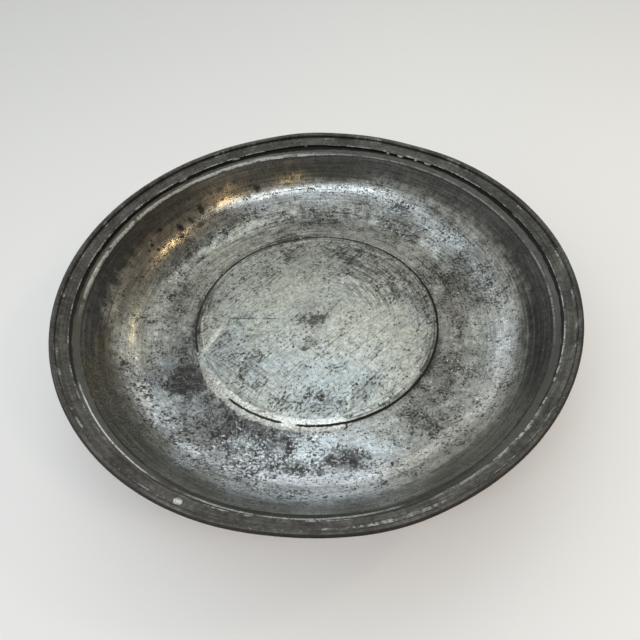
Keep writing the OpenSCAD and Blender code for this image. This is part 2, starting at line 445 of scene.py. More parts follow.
# tin over the inside of the bowl: pale and clean at the sides, tarnished at the front and at the back right
bowlTin = {
    "pale": (0.44, 0.445, 0.41), "warm": (0.46, 0.45, 0.385), "blue": (0.40, 0.44, 0.475),
    "mid": (0.27, 0.275, 0.253), "film": (0.102, 0.099, 0.089), "paintedSheen": (0.66, 0.72, 0.76),
    "rubbed": (0.58, 0.58, 0.52), "paintedGlint": (0.88, 0.92, 0.95), "speck": (0.022, 0.021, 0.02),
    "pit": (0.02, 0.019, 0.018), "spot": (0.028, 0.025, 0.021),
    "wall": (0.195, 0.192, 0.164), "wallDark": (0.036, 0.035, 0.031), "tan": (0.30, 0.255, 0.19),
    "peeledWhite": (0.66, 0.68, 0.66), "peeledBlack": (0.03, 0.03, 0.028),
    "lipRight": (0.13, 0.128, 0.115), "lipLeft": (0.20, 0.2, 0.184), "lipDark": (0.085, 0.082, 0.072),
    "ledgeFrontShade": (0.066, 0.064, 0.054), "fold": (0.03, 0.03, 0.027), "worn": (0.62, 0.64, 0.62),
    "crevice": (0.012, 0.012, 0.011),
    "tarnish": [(-100, -67, 12, 1.0, 0, 0.95), (-108, -50, 27, 1.2, 70, 0.32),
                (-46, -118, 27, 1.7, -20, 0.62), (30, -130, 10, 1.4, 10, 0.62), (98, -78, 30, 1.6, 50, 0.26),
                (126, 40, 28, 1.8, -70, 0.30), (74, 128, 26, 1.6, -30, 0.28), (-4, 133, 12, 2.4, 0, 0.4),
                (-134, 64, 7, 3.4, 65, 0.26), (-112, 94, 7, 3.4, 50, 0.24), (-82, 124, 7, 3.0, 35, 0.2),
                (2, -163, 6, 6.0, 0, 0.12), (-130, 14, 24, 1.5, 85, 0.13)],
    # the bright patches are painted sheen and highlight: the bluish sheen at the front and the cove's
    # highlight at the back and right
    "bright": [(4, -138, 28, 1.8, 0, 0.95), (34, -154, 14, 2.6, 12, 0.8), (-14, -160, 11, 3.6, -4, 0.9),
               (-112, -98, 9, 2.4, -48, 0.5), (-82, -133, 8, 1.6, -40, 0.7), (-36, -136, 24, 1.6, -14, 0.5),
               (0, 159, 8, 5.0, 0, 0.6), (-70, 142, 8, 2.8, 27, 0.5), (118, 100, 6, 5.0, -49, 1.0),
               (147, 44, 6, 4.0, -73, 0.6), (70, 144, 9, 3.2, -26, 0.8), (152, -30, 10, 3.5, 80, 0.4),
               (142, -84, 8, 3.5, 58, 0.6)],
    "peeled": [(-112, -103, 9, 3.8, -47, 1.0), (-130, -80, 8, 2.0, -60, 0.8), (-86, -130, 8, 2.0, -33, 0.7)],
    "cream": [(98, -118, 10, 4.2, 40, 0.9), (62, -142, 8, 3.2, 24, 0.6), (141, -80, 8, 4.0, 60, 0.8),
              (116, -114, 6, 3.6, 45, 0.6), (84, -139, 6, 3.0, 31, 0.6)],
    "paintedCoolSheen": [(-50, -116, 32, 2.0, -22, 0.8), (-98, -84, 26, 1.7, -50, 0.75), (-112, -34, 20, 1.7, 78, 0.6),
             (24, -136, 26, 1.6, 10, 0.8), (118, 96, 14, 3.4, -50, 0.8)],
    "tanAndGlowAt": [(-134, 96, 17, 3.6, 54, 1.0), (-163, 50, 13, 2.6, 73, 0.9), (-166, 6, 12, 3.4, 88, 0.85)],
    "spotted": [(-112, 122, 17, 2.4, 47, 0.9)],
    "spots": [(-70, 154, 2.4, 1.5, 25, 0.9), (-78, 147, 1.8, 1.2, 0, 0.7), (-122, 118, 2.6, 1.3, 45, 0.9),
              (-130, 105, 2.0, 1.2, 0, 0.8), (-138, 94, 2.6, 1.4, 55, 0.9), (-137, 88, 1.8, 1.2, 0, 0.8),
              (-122, 106, 2.4, 1.5, 45, 0.7), (-110, 127, 1.7, 1.3, 40, 0.7)],
    "nearWorn": [(-8, -184, 14, 4.4, 0, 1.0)],
    "filled": [(-125, -139, 9, 5.2, -42, 1.0)],  # here solder fills the joint under the band flush
    "grimeAndShade": {"r": 105.0, "share": 0.9, "strength": (0.34, 0.8), "coreR": 104.9, "coreWidth": 1.3,
              "tint": (0.022, 0.021, 0.02)},
    "backwards": (0.0005, 0.0052, 0.0),  # a place along this is about -1 at the front rim and 1 at the back
    "roughness": 0.09, "metal": (0.74, 0.5), "bump": (0.4, 0.14),
}


# where things lie on the bowl, and the noise that its layers share
def bowlPlaces(tree):
    radius, flat = radiusOf(tree, placeInMm(tree))
    at = SimpleNamespace(radius=radius, rag=ragged(tree, 5.0))
    along = {0: flat, 1: bowlTin["backwards"]}
    at.facing = put(tree, "VectorMath", along, operation="DOT_PRODUCT").outputs["Value"]
    at.west = remap(tree, parts(tree, flat)["X"], 20.0, -110.0)
    at.small = use(tree, clouds, size=8.0, detail=7.0, grit=0.68, shift=71.0)
    at.mottle = use(tree, clouds, size=3.2, detail=6.0, grit=0.78, shift=61.0)
    at.turned = use(tree, lines, spacing=1.5, length=70.0)
    at.long = use(tree, lines, spacing=5.0, length=140.0, shift=4.0)
    front = remap(tree, at.facing, -0.2, -0.6)
    rise = total(tree, radius, swing(tree, at.small, 16.0), times(tree, front, -5.0))  # the wall's tint starts higher in front, a painted reflection of the pale back
    at.rise = total(tree, rise, swing(tree, at.mottle, ramp(tree, front, 14.0, 6.0)))
    at.high = remap(tree, at.rise, 161.0, ramp(tree, front, -6.0, 173.0))
    return at


def bowlFloor(tree, at):  # clean tin, painted sheen and highlights, and the film of tarnish
    tin = bowlTin
    big = use(tree, clouds, size=42.0, detail=5.0, grit=0.62, shift=13.0)
    at.bright = layPatches(tree, tin["bright"], at.rag, 0.8)
    brushed = remap(tree, use(tree, lines, spacing=2.0, length=34.0, shift=9.0), 0.53, 0.66)
    brushed = times(tree, brushed, remap(tree, at.facing, -0.25, 0.45))  # wiped round at the back
    density = addUp(tree, (remap(tree, big, 0.36, 0.68), 0.30), (at.small, 0.3), (at.turned, 0.3),
                    (at.long, 0.5), (layPatches(tree, tin["tarnish"], at.rag), 1.0), (brushed, 0.42))
    at.density = calc(tree, "SUBTRACT", density, 0.46, clamp=True)
    clean = blend(tree, at.west, tin["pale"], tin["warm"])
    # painted bluish sheen where the tin mirrors cool light
    clean = blend(tree, layPatches(tree, tin["paintedCoolSheen"], at.rag, 0.9), clean, tin["blue"])
    colour = blend(tree, remap(tree, at.small, 0.36, 0.66), clean, tin["mid"])
    # painted sheen and highlight over the bright patches
    colour = blend(tree, at.bright, colour, tin["paintedSheen"])
    colour = blend(tree, layPatches(tree, tin["cream"], at.rag, 0.8), colour, tin["rubbed"])
    at.film = times(tree, remap(tree, at.density, 0.08, 0.8), 0.75,
                    remap(tree, at.bright, 0.0, 1.0, 1.0, 0.45))
    return blend(tree, at.film, colour, tin["film"])


def bowlWall(tree, at, colour):  # darker under the mouth at the back and sides, partly patina and partly painted shade; tan with painted warm glow at the left; clear at the front, a painted reflection
    tin = bowlTin
    # painted shade over patina: wallDark lies at the back and sides, where the wall mirrors the dark room
    at.shade = times(tree, remap(tree, at.facing, -0.75, -0.2), remap(tree, at.rise, 167.0, 177.0))
    sides = blend(tree, at.shade, tin["wall"], tin["wallDark"])
    # tan: partly tint and partly painted warm glow around the warm lamps' reflections
    tan = times(tree, layPatches(tree, tin["tanAndGlowAt"], at.rag, 0.8), remap(tree, at.rise, 177.0, 168.0))
    colour = stain(tree, colour, at.high, 0.9, stain(tree, sides, tan, 0.8, tin["tan"]))
    return scaled(tree, colour, remap(tree, at.mottle, 0.38, 0.62, 0.8, 1.2))


def bowlSpecks(tree, at, colour):  # painted glint flecks, dark flecks and pits
    tin = bowlTin
    nearSide = remap(tree, at.facing, -0.15, -0.45)  # here the tin has come away in flakes, which also carry painted glint flecks
    flake = times(tree, use(tree, ring, radius=156.0, width=10.0, share=0.7, run=12.0, shift=5.0), nearSide)
    crust = times(tree, use(tree, ring, radius=161.0, width=9.0, share=0.6, run=8.0, shift=6.0), nearSide)
    paintedGlint = addUp(tree, (calc(tree, "MINIMUM", at.bright, 0.8), 0.45), (flake, 0.4))
    paintedGlint = use(tree, specks, grain=2.3, density=total(tree, paintedGlint, 0.12), shift=55.0)
    paintedGlint = times(tree, paintedGlint, remap(tree, at.high, 0.0, 0.9, 0.7, 0.0))
    at.fine = use(tree, specks, grain=2.0, density=total(tree, at.density, 0.2))
    coarse = use(tree, specks, grain=4.0, density=addUp(tree, (crust, 0.55), (at.density, 0.6)), shift=40.0)
    dark = most(tree, times(tree, at.fine, remap(tree, at.small, 0.38, 0.6, 0.55, 0.95)),
                times(tree, coarse, ramp(tree, crust, 0.35, 0.55)))
    at.dark = times(tree, dark, remap(tree, at.high, 0.0, 1.0, 1.0, 0.75))
    at.holes = most(tree, use(tree, pits, spacing=8.0, share=0.75, size=0.13),
                    use(tree, pits, spacing=4.0, share=0.5, size=0.16, shift=33.0))
    # painted glints: bright flecks over the bright patches and the flaked ring
    colour = blend(tree, paintedGlint, colour, tin["paintedGlint"])
    colour = blend(tree, at.dark, colour, tin["speck"])
    return stain(tree, colour, at.holes, 0.85, tin["pit"])


def bowlStreaks(tree, at, colour):  # wiped lines, brown spots at the left, peeled tin
    tin = bowlTin
    streak = times(tree, remap(tree, at.turned, 0.36, 0.64, 0.8, 1.2),
                   remap(tree, at.long, 0.3, 0.7, 0.88, 1.12))
    upper = remap(tree, use(tree, lines, spacing=1.6, length=45.0, shift=50.0), 0.4, 0.6, -0.34, 0.34)
    upper = times(tree, upper, at.high, remap(tree, at.west, 0.2, 1.0, 1.0, 0.5),
                  remap(tree, at.facing, -0.2, 0.3, 1.0, 0.5))
    colour = scaled(tree, colour, times(tree, streak, total(tree, upper, 1.0)))
    blot = most(tree, use(tree, pits, spacing=5.5, share=0.5, size=0.34, shift=77.0),
                use(tree, pits, spacing=3.2, share=0.45, size=0.32, shift=17.0))
    clump = remap(tree, use(tree, clouds, size=20.0, detail=3.0, grit=0.6, shift=99.0), 0.44, 0.53)
    clump = most(tree, clump, layPatches(tree, tin["spotted"], at.rag))
    blot = times(tree, blot, clump, remap(tree, at.rise, 148.0, 156.0),
                 remap(tree, at.facing, -0.6, -0.25), at.west, 0.9)
    spots = layPatches(tree, tin["spots"], ragged(tree, 85.0, 4.0), 0.5)
    colour = blend(tree, calc(tree, "MAXIMUM", blot, spots, clamp=True), colour, tin["spot"])
    peeled = layPatches(tree, tin["peeled"], at.rag)
    whites = use(tree, specks, grain=4.2, density=ramp(tree, peeled, 0.75, -0.25), shift=66.0)
    blacks = use(tree, specks, grain=3.4, density=ramp(tree, peeled, 0.62, -0.2), shift=58.0)
    colour = stain(tree, colour, whites, 0.8, tin["peeledWhite"])
    return stain(tree, colour, blacks, 0.85, tin["peeledBlack"])


def bowlLedge(tree, at, colour):  # the flange, which shows as a ledge under the band, palest at the left
    tin = bowlTin
    rubs = total(tree, use(tree, lines, spacing=1.1, length=26.0, shift=60.0), swing(tree, at.small, 0.8))
    lipTin = blend(tree, at.west, tin["lipRight"], tin["lipLeft"])
    lipTin = blend(tree, remap(tree, rubs, 0.54, 0.42), lipTin, tin["lipDark"])
    # painted light and shade: the flange top is pale at the back where it faces the camera, dark at the front
    # where it turns away
    lip = times(tree, remap(tree, at.radius, 183.3, 184.0), remap(tree, at.facing, -0.3, 0.1))
    colour = stain(tree, colour, lip, 0.9, lipTin)
    ledge = times(tree, remap(tree, at.radius, 183.0, 183.8), remap(tree, at.facing, 0.1, -0.3))
    colour = stain(tree, colour, ledge, 0.84, tin["ledgeFrontShade"])
    fold = use(tree, ring, radius=183.2, width=0.7, share=0.85, run=40.0, shift=31.0)
    colour = stain(tree, colour, fold, 0.7, tin["fold"])
    # bright lines on the mouth's edge: wear, and painted highlight where the edge faces the camera
    edge = times(tree, use(tree, ring, radius=184.2, width=0.8, share=0.66, run=14.0),
                 remap(tree, at.facing, -0.35, 0.1, 0.0, 0.75), remap(tree, at.west, 0.0, 0.4, 0.4, 1.0))
    left = times(tree, use(tree, ring, radius=185.3, width=1.3, share=0.8, run=16.0, shift=2.0), at.west,
                 remap(tree, at.facing, -0.35, 0.0))
    near = times(tree, use(tree, ring, radius=186.1, width=0.9, share=0.95, run=30.0, shift=15.0),
                 layPatches(tree, tin["nearWorn"], at.rag, 0.5))
    filled = layPatches(tree, tin["filled"], at.rag, 0.4)
    joint = times(tree, use(tree, ring, radius=187.2, width=0.6, share=1.0, run=60.0, shift=8.0), filled)
    colour = blend(tree, most(tree, edge, left, near, joint), colour, tin["worn"])
    # painted shade with dirt: black in the crevice under the band's nose, except where solder fills it
    gap = remap(tree, total(tree, at.radius, swing(tree, at.small, 3.0)), 187.6, 188.4)
    return blend(tree, times(tree, gap, less(tree, 1.0, filled)), colour, tin["crevice"])


def finishBowl():
    finish, tree, shader = startMetal("tinned bowl")
    at = bowlPlaces(tree)
    colour = bowlFloor(tree, at)
    for layer in (bowlWall, bowlSpecks, bowlStreaks, bowlLedge):
        colour = layer(tree, at, colour)
    colour = layGrimeAndShade(tree, colour, at.rag, bowlTin["grimeAndShade"])
    crusted = times(tree, at.shade, remap(tree, at.rise, 170.0, 178.0))
    rough = addUp(tree, (at.small, 0.20), (at.film, 0.14), (at.dark, 0.2), (at.holes, 0.25),
                  (at.turned, 0.10), (at.high, -0.04), (crusted, 0.14))
    feedWorn(tree, shader, bowlTin, colour, rough, at.dark)
    height = addUp(tree, (at.holes, -1.0), (at.fine, -0.18), (at.turned, 0.35), (at.small, 0.5))
    bumpInto(tree, shader, height, *bowlTin["bump"])
    return finish


# the centre plate is the palest piece, wiped slantwise
plateTin = {
    "warm": (0.54, 0.54, 0.475), "blue": (0.47, 0.525, 0.545), "mid": (0.36, 0.375, 0.345),
    "film": (0.15, 0.152, 0.143), "wipe": (0.72, 0.73, 0.69), "wiped": (0.24, 0.245, 0.23),
    "cross": (0.10, 0.10, 0.095), "speck": (0.026, 0.025, 0.023), "burnt": (0.035, 0.03, 0.026),
    "score": (0.08, 0.08, 0.075), "shine": (0.72, 0.74, 0.72), "pit": (0.02, 0.019, 0.018),
    "tarnish": [(68, 52, 24, 1.9, -42, 0.3), (10, 84, 13, 3.4, -4, 0.26), (94, 14, 9, 2.6, 100, 0.3),
                (-46, -66, 18, 1.5, -40, 0.12), (0, -84, 12, 2.4, 2, 0.18), (44, -72, 10, 1.6, 60, 0.34),
                (-80, -32, 6, 2.6, 66, 0.36), (-90, 8, 9, 3.2, 80, 0.2), (-52, 62, 12, 2.6, 46, 0.2),
                (-16, 70, 22, 1.8, 10, 0.07), (-60, 36, 20, 1.7, 55, 0.08), (34, 62, 12, 2.2, -35, 0.12),
                (54, 6, 26, 1.4, 40, -0.14)],
    "bright": [(-85.5, -23, 2.4, 8.1, 67, 1.0), (-61, -56.5, 1.3, 12.5, 75, 0.7), (30, -81, 1.5, 9, 83, 0.5),
               (27, 46, 5, 1.4, 50, 0.4)],
    "paintedBlueSheen": [(2, -64, 30, 1.8, 0, 0.9), (84, 20, 16, 1.8, 110, 0.3), (-80, -40, 16, 2.0, 66, 0.6)],
    "crossed": [(-50, -58, 30, 1.6, -35, 1.0), (60, 40, 24, 1.4, 40, 0.5)],
    "cleared": [(-10, -60, 108, 1.0, 0, 1.0)],  # the cloth stopped short of the back right
    "ringed": [(52, 56, 38, 1.4, -45, 1.0)],
    "burns": [(1, -3, 5.2, 1.5, 42, 0.9), (-10, -3, 5.0, 1.6, 36, 0.6), (9, 6, 3.4, 2.8, 46, 0.5),
              (-3, -28, 3.8, 1.8, 56, 0.7), (-8, -35, 2.2, 1.2, 0, 0.8), (-6, 10, 4.6, 2.6, 48, 0.45),
              (4, -12, 3.4, 1.8, 30, 0.4), (-52, -22, 3.0, 3.4, 20, 0.4)],
    "scored": [(-50, -2.5, 0.6, 47, 0.5, 0.8), (-71, -3, 0.9, 11, 0, 0.6), (27, 29, 0.55, 40, 49, 0.85),
               (24, 31.5, 0.5, 34, 49, 0.6), (-1, -85.5, 0.5, 42, -3, 0.85), (3, -89, 0.45, 32, -3, 0.7),
               (-46, -58, 0.6, 26, -30, 0.8), (-53, -69, 0.55, 22, -32, 0.75), (-38, -74, 0.5, 22, 70, 0.7),
               (-26, -54, 0.9, 10, 64, 0.6), (-62, -52, 0.5, 22, -28, 0.6), (52, 12, 0.5, 24, 44, 0.4),
               (-58, 30, 0.6, 48, 56, 0.6), (-50, 34, 0.6, 44, 54, 0.5), (-40, 48, 0.5, 36, 50, 0.5),
               (40, 74, 0.5, 44, -28, 0.7), (20, 86, 0.5, 44, -12, 0.7), (62, 58, 0.5, 34, -44, 0.6),
               (22, 64, 0.5, 40, -40, 0.55)],
    "grimeAndShade": {"r": 104.4, "share": 0.85, "strength": (0.3, 0.75), "coreR": 104.2, "coreWidth": 1.0,
              "tint": (0.025, 0.024, 0.022)},
    "roughness": 0.15, "metal": (0.8, 0.55), "bump": (0.5, 0.15),
}


def platePlaces(tree):
    at = SimpleNamespace(radius=radiusOf(tree, placeInMm(tree))[0], rag=ragged(tree, 25.0))
    at.small = use(tree, clouds, size=6.5, detail=7.0, grit=0.7, shift=21.0)
    at.wiped = use(tree, scratches, angle=52.0, length=60.0, width=1.5, share=0.45)
    at.level = use(tree, scratches, angle=-3.0, length=26.0, width=0.6, share=0.16, shift=90.0)
    return at


def plateBase(tree, at):  # clean tin, the film of tarnish and the marks of wiping
    tin = plateTin
    big = use(tree, clouds, size=34.0, detail=5.0, grit=0.62, shift=5.0)
    broad = use(tree, scratches, angle=50.0, length=80.0, width=6.0, share=0.5, shift=30.0)
    density = addUp(tree, (remap(tree, big, 0.38, 0.7), 0.22), (at.small, 0.3), (at.wiped, 0.22),
                    (broad, 0.16), (layPatches(tree, tin["tarnish"], at.rag, 0.85), 1.0))
    at.density = calc(tree, "SUBTRACT", density, 0.12, clamp=True)
    hue = swing(tree, use(tree, clouds, size=60.0, detail=3.0, grit=0.5, shift=83.0), 2.0)
    # the hue is random tone, and in the cool patches a painted bluish sheen
    hue = total(tree, hue, layPatches(tree, tin["paintedBlueSheen"], at.rag, 0.9))
    clean = blend(tree, remap(tree, hue, -0.1, 0.8), tin["warm"], tin["blue"])
    colour = blend(tree, remap(tree, at.small, 0.36, 0.68), clean, tin["mid"])
    at.film = times(tree, remap(tree, at.density, 0.12, 0.85), 0.8)
    colour = blend(tree, at.film, colour, tin["film"])
    colour = blend(tree, layPatches(tree, tin["bright"], at.rag, 0.4), colour, tin["wipe"])
    colour = stain(tree, colour, at.wiped, 0.3, tin["wiped"])
    cross = use(tree, scratches, angle=-38.0, length=26.0, width=1.5, share=0.62, shift=15.0)
    cross = times(tree, cross, layPatches(tree, tin["crossed"], at.rag))
    colour = stain(tree, colour, cross, 0.45, tin["cross"])
    cleared = layPatches(tree, tin["cleared"], ragged(tree, 45.0, 10.0, 0.7), 0.05)
    edge = most(tree, remap(tree, at.radius, 88.0, 104.0), layPatches(tree, tin["ringed"], at.rag))
    turned = remap(tree, use(tree, lines, spacing=1.8, length=60.0, shift=7.0), 0.4, 0.56, -0.55, 0.2)
    tone = times(tree, mottled(tree, 2.8, 0.78, 44.0, 0.78, 1.22), remap(tree, cleared, 0.0, 1.0, 0.91, 1.06),
                 total(tree, 1.0, times(tree, turned, edge)))
    return scaled(tree, colour, tone)


def plateMarks(tree, at, colour):  # flecks, burnt dirt at the middle, scored lines and pits
    tin = plateTin
    at.fine = use(tree, specks, grain=1.8, density=total(tree, at.density, 0.25), stretch=1.6, turn=50.0,
                  shift=8.0)
    coarse = use(tree, specks, grain=3.6, density=ramp(tree, at.density, 0.6, 0.1), shift=18.0)
    at.dark = most(tree, times(tree, at.fine, remap(tree, at.small, 0.38, 0.6, 0.5, 0.95)),
                   times(tree, coarse, 0.6))
    colour = blend(tree, at.dark, colour, tin["speck"])
    smear = layPatches(tree, tin["burns"], ragged(tree, 65.0, 5.0, 3.0), 0.95)
    crumbs = use(tree, specks, grain=2.2, density=ramp(tree, smear, 1.45, -0.26), stretch=1.6, turn=46.0,
                 shift=6.0)
    burnt = most(tree, times(tree, smear, 0.62), times(tree, crumbs, 0.85))
    colour = blend(tree, burnt, colour, tin["burnt"])
    skips = use(tree, clouds, size=7.0, detail=6.0, grit=0.7, shift=37.0)  # the point skipped as it ran
    scored = times(tree, layPatches(tree, tin["scored"], at.rag, 0.6),
                   remap(tree, skips, 0.43, 0.56, 0.15, 1.0))
    keen = use(tree, scratches, angle=47.0, length=26.0, width=1.1, share=0.46, shift=50.0)
    at.keen = calc(tree, "MAXIMUM", times(tree, keen, 0.65), scored, clamp=True)
    colour = blend(tree, at.keen, colour, tin["score"])
    colour = stain(tree, colour, at.level, 0.35, tin["shine"])
    at.holes = most(tree, use(tree, pits, spacing=9.0, share=0.75, size=0.13, shift=3.0),
                    use(tree, pits, spacing=4.2, share=0.5, size=0.17, shift=63.0))
    return stain(tree, colour, at.holes, 0.9, tin["pit"])


def finishPlate():
    finish, tree, shader = startMetal("tinned plate")
    at = platePlaces(tree)
    colour = plateMarks(tree, at, plateBase(tree, at))
    colour = layGrimeAndShade(tree, colour, at.rag, plateTin["grimeAndShade"])
    rough = addUp(tree, (at.small, 0.2), (at.film, 0.12), (at.dark, 0.2), (at.holes, 0.25), (at.wiped, 0.06))
    feedWorn(tree, shader, plateTin, colour, rough, at.dark)
    height = addUp(tree, (at.holes, -1.0), (at.fine, -0.15), (at.keen, -0.45), (at.wiped, -0.12),
                   (at.level, -0.2), (at.small, 0.4))
    bumpInto(tree, shader, height, *plateTin["bump"])
    return finish


# the rim band has gone a dull dark grey; the bright lines on its rounded edges are wear and painted highlight
rimTin = {
    "base": (0.112, 0.107, 0.094), "dark": (0.055, 0.052, 0.046), "worn": (0.52, 0.54, 0.54),
    "dull": (0.27, 0.275, 0.265), "speck": (0.03, 0.03, 0.028),
    "scuffed": [(30, -193, 12, 2.0, 10, 1.0), (76, -180, 10, 1.6, 25, 0.6)],
    "flaked": [(134, -131, 9, 2.2, 47, 1.0), (96, -161, 7, 3.0, 31, 0.6)],
    "roughness": 0.28, "metal": (0.75, 0.5), "bump": (0.45, 0.12),
}


def finishRim():
    finish, tree, shader = startMetal("darkened rim tin")
    tin = rimTin
    big = use(tree, clouds, size=24.0, detail=5.0, grit=0.6, shift=31.0)
    turned = use(tree, lines, spacing=0.9, length=90.0, shift=2.0)
    fine = use(tree, specks, grain=3.0, density=0.22)
    # bright lines on the nose, groove and roll: wear and painted highlight
    nose = use(tree, ring, radius=188.6, width=0.95, share=0.6, run=15.0)
    groove = use(tree, ring, radius=195.6, width=0.9, share=0.5, run=22.0, shift=40.0)
    lip = use(tree, ring, radius=199.8, width=0.5, share=0.4, run=28.0, shift=80.0)
    scuff = times(tree, use(tree, ring, radius=195.0, width=1.9, share=0.58, run=8.0, shift=9.0),
                  layPatches(tree, tin["scuffed"], ragged(tree, 3.0)))
    flakes = times(tree, use(tree, ring, radius=189.0, width=1.7, share=0.62, run=7.0, shift=21.0),
                   layPatches(tree, tin["flaked"], ragged(tree, 13.0)))
    crumbs = use(tree, ring, radius=195.8, width=3.2, share=0.75, run=26.0, shift=52.0)
    crumbs = use(tree, specks, grain=1.5, density=ramp(tree, crumbs, 0.7, -0.3), shift=35.0)
    colour = blend(tree, remap(tree, big, 0.35, 0.7), tin["base"], tin["dark"])
    streak = times(tree, remap(tree, turned, 0.34, 0.66, 0.7, 1.3), mottled(tree, 3.0, 0.78, 14.0, 0.7, 1.3))
    colour = scaled(tree, colour, streak)
    colour = stain(tree, colour, crumbs, 0.55, tin["dull"])
    colour = stain(tree, colour, fine, 0.6, tin["speck"])
    worn = most(tree, nose, times(tree, groove, 0.7), lip, scuff, flakes)
    colour = stain(tree, colour, worn, 0.85, tin["worn"])
    rough = addUp(tree, (big, 0.2), (turned, 0.12), (worn, -0.08))
    feedWorn(tree, shader, tin, colour, rough, fine)
    height = addUp(tree, (turned, 0.6), (fine, -0.3), (big, 0.3), (worn, 0.15))
    bumpInto(tree, shader, height, *tin["bump"])
    return finish


# solder that was wiped while soft: pale, lumpy and stained
solderTin = {
    "pale": (0.80, 0.81, 0.79), "dull": (0.56, 0.56, 0.53), "rough": (0.46, 0.45, 0.41),
    "paintedShine": (0.96, 0.97, 0.96), "stain": (0.07, 0.06, 0.05), "begun": (0.33, 0.335, 0.32),
    "burnt": (0.075, 0.052, 0.036),
    "begunAt": [(-97, -42, 13, 2.2, -66, 1.0)],
    "smoothAt": [(0, -99.5, 6, 5.2, 0, 1.0)],  # the part last wiped, painted white as its highlight
    "burntAt": [(31, -103.5, 3.2, 1.5, 10, 1.0)],
    "roughness": 0.26, "metal": (0.95, 0.6), "bump": (0.6, 0.25),
}


def finishSolder():
    finish, tree, shader = startMetal("wiped solder")
    tin = solderTin
    radius = radiusOf(tree, placeInMm(tree))[0]
    big = use(tree, clouds, size=11.0, detail=5.0, grit=0.6, shift=17.0)
    small = use(tree, clouds, size=2.5, detail=5.0, grit=0.7, shift=47.0)
    fine = use(tree, specks, grain=2.2, density=times(tree, big, 0.7))
    colour = blend(tree, remap(tree, big, 0.38, 0.62), tin["pale"], tin["dull"])
    colour = stain(tree, colour, remap(tree, radius, 104.6, 106.5), 0.6, tin["rough"])
    begun = layPatches(tree, tin["begunAt"], ragged(tree, 12.0, 5.0), 0.6)
    colour = stain(tree, colour, begun, 0.6, tin["begun"])
    # painted highlight: the smooth, last-wiped part of the run is painted near white
    colour = blend(tree, layPatches(tree, tin["smoothAt"], ragged(tree, 7.0, 4.0), 0.3), colour, tin["paintedShine"])
    fringe = remap(tree, total(tree, swing(tree, small, 9.0), radius), 107.6, 110.0)
    fringe = times(tree, fringe, remap(tree, radius, 118.0, 114.0))
    fringe = use(tree, specks, grain=1.9, density=ramp(tree, fringe, 1.1, -0.25), shift=19.0)
    burnt = layPatches(tree, tin["burntAt"], ragged(tree, 8.0, 3.0, 3.0), 0.6)
    burnt = use(tree, specks, grain=2.0, density=ramp(tree, burnt, 1.5, -0.3), shift=29.0)
    colour = blend(tree, most(tree, times(tree, fringe, 0.8), burnt), colour, tin["burnt"])
    colour = scaled(tree, colour, mottled(tree, 2.2, 0.8, 9.0, 0.6, 1.3))
    colour = stain(tree, colour, fine, 0.75, tin["stain"])
    rough = addUp(tree, (small, 0.2), (fine, 0.2))
    feedWorn(tree, shader, tin, colour, rough, fine)
    bumpInto(tree, shader, addUp(tree, (big, 1.0), (small, 0.5), (fine, -0.3)), *tin["bump"])
    return finish


# black dirt and old flux that fills the open seam
seamDirt = {"black": (0.018, 0.017, 0.016), "crust": (0.06, 0.055, 0.05), "grey": (0.14, 0.14, 0.13),
            "roughness": (0.55, 0.9), "metal": 0.4, "bump": (0.7, 0.3)}


def finishSeam():
    finish, tree, shader = startMetal("blackened seam")
    big = use(tree, clouds, size=26.0, detail=3.0, grit=0.55, shift=3.0)
    small = use(tree, clouds, size=2.0, detail=5.0, grit=0.7)
    colour = blend(tree, remap(tree, small, 0.35, 0.7), seamDirt["black"], seamDirt["crust"])
    colour = stain(tree, colour, remap(tree, big, 0.55, 0.72), 0.4, seamDirt["grey"])
    feed(tree, shader, colour, remap(tree, small, 0.2, 0.8, *seamDirt["roughness"]), seamDirt["metal"])
    bumpInto(tree, shader, addUp(tree, (small, 1.0), (big, 0.4)), *seamDirt["bump"])
    return finish


# bare copper under the dish, brown with age, with thin remains of tin
oldCopper = {
    "bright": (0.40, 0.20, 0.125), "brown": (0.14, 0.078, 0.052), "black": (0.035, 0.028, 0.024),
    "tin": (0.34, 0.33, 0.31), "pit": (0.02, 0.018, 0.016), "rubbed": (0.62, 0.34, 0.22),
    "roughness": 0.26, "metal": (0.95, 0.6), "bump": (0.5, 0.16),
}


def finishCopper():
    finish, tree, shader = startMetal("aged copper")
    tint = oldCopper
    big = use(tree, clouds, size=38.0, detail=5.0, grit=0.62, shift=57.0)
    small = use(tree, clouds, size=8.0, detail=7.0, grit=0.7, shift=11.0)
    turned = use(tree, lines, spacing=2.2, length=60.0, shift=5.0)
    fine = use(tree, specks, grain=3.4, density=times(tree, big, 0.8))
    holes = use(tree, pits, spacing=8.0, share=0.4, size=0.14, shift=7.0)
    rest = remap(tree, use(tree, clouds, size=18.0, detail=7.0, grit=0.7, shift=90.0), 0.55, 0.62)
    colour = blend(tree, remap(tree, big, 0.3, 0.62), tint["bright"], tint["brown"])
    colour = stain(tree, colour, remap(tree, small, 0.45, 0.7), 0.4, tint["black"])
    colour = stain(tree, colour, rest, 0.45, tint["tin"])
    colour = stain(tree, colour, fine, 0.6, tint["black"])
    colour = scaled(tree, colour, remap(tree, turned, 0.3, 0.7, 0.8, 1.2))
    colour = stain(tree, colour, holes, 0.7, tint["pit"])
    base = total(tree, swing(tree, small, 6.0), parts(tree, placeInMm(tree))["Z"])
    rubbed = remap(tree, base, 1.6, 0.4)
    colour = stain(tree, colour, rubbed, 0.8, tint["rubbed"])  # bright where the foot slides on tables
    rough = addUp(tree, (small, 0.25), (fine, 0.15), (turned, 0.1), (rubbed, -0.1))
    feedWorn(tree, shader, tint, colour, rough, fine)
    height = addUp(tree, (holes, -0.8), (turned, 0.3), (small, 0.5), (fine, -0.2))
    bumpInto(tree, shader, height, *tint["bump"])
    return finish


